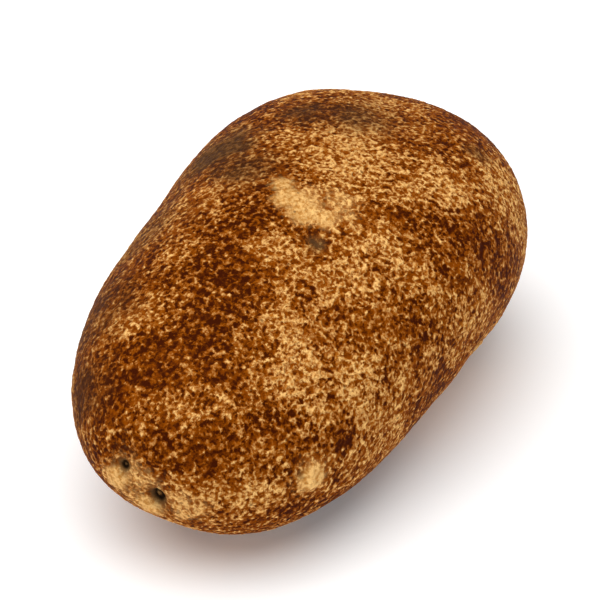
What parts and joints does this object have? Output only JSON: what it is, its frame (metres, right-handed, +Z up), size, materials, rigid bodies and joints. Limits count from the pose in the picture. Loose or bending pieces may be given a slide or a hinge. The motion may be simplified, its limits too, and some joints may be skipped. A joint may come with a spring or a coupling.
{
  "type": "russet potato",
  "caption": "Whole raw long oval potato with rough netted brown skin, small dark eyes and a stem scar, lying on its broad side.",
  "frame": {"origin": "on the surface that the potato lies on, below the middle of its box", "axes": "+X along the potato from its rose end, where the eyes crowd, to its stem end; +Z up; +Y to the left, seen from the rose end"},
  "size_m": [0.1268, 0.0724, 0.0551],
  "materials": {
    "skin": "matte"
  },
  "bodies": {
    "root": {"potato": "skin"}
  },
  "joints": []
}
